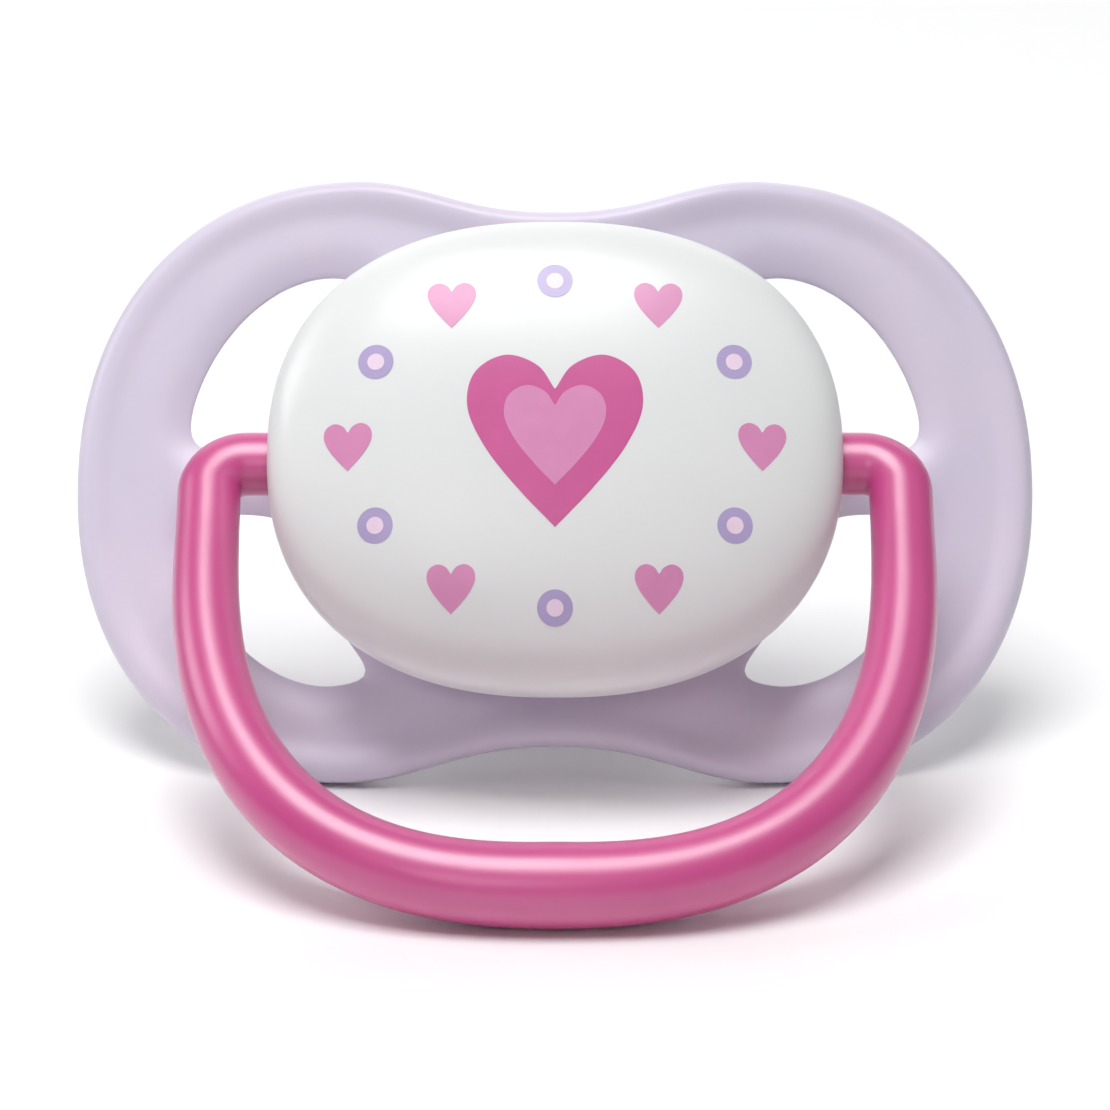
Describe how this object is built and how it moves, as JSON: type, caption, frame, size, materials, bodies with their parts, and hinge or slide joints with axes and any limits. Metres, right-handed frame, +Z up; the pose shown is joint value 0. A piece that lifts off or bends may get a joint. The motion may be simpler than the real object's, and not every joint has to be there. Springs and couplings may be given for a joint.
{
  "type": "pacifier",
  "caption": "Orthodontic pacifier with a bean-shaped vented shield, a domed front cap, a hollow silicone nipple and a D-shaped ring handle that swings on the hub.",
  "frame": {"origin": "on the table, under the middle of the resting pacifier's box", "axes": "+X along the shield's width, to the right as seen from the front; +Y away from the viewer, towards the mouth side; +Z up"},
  "size_m": [0.0584, 0.0572, 0.0329],
  "materials": {
    "shield_plastic": "satin lavender polypropylene",
    "cap_plastic": "glossy white polypropylene",
    "handle_plastic": "glossy pink polypropylene",
    "nipple_silicone": "clear silicone, slightly milky",
    "plug_plastic": "white polypropylene"
  },
  "bodies": {
    "pacifier_body": {"shield": "shield_plastic", "front_cap": "cap_plastic", "nipple": "nipple_silicone", "nipple_plug": "plug_plastic"},
    "handle": {"ring_handle": "handle_plastic"}
  },
  "joints": [
    {"name": "handle_swing", "type": "hinge", "parent": "pacifier_body", "child": "handle", "pos_m": [0, -0.00069, 0.01895], "axis": [-1, 0, 0], "range_deg": [-36, 161]}
  ]
}
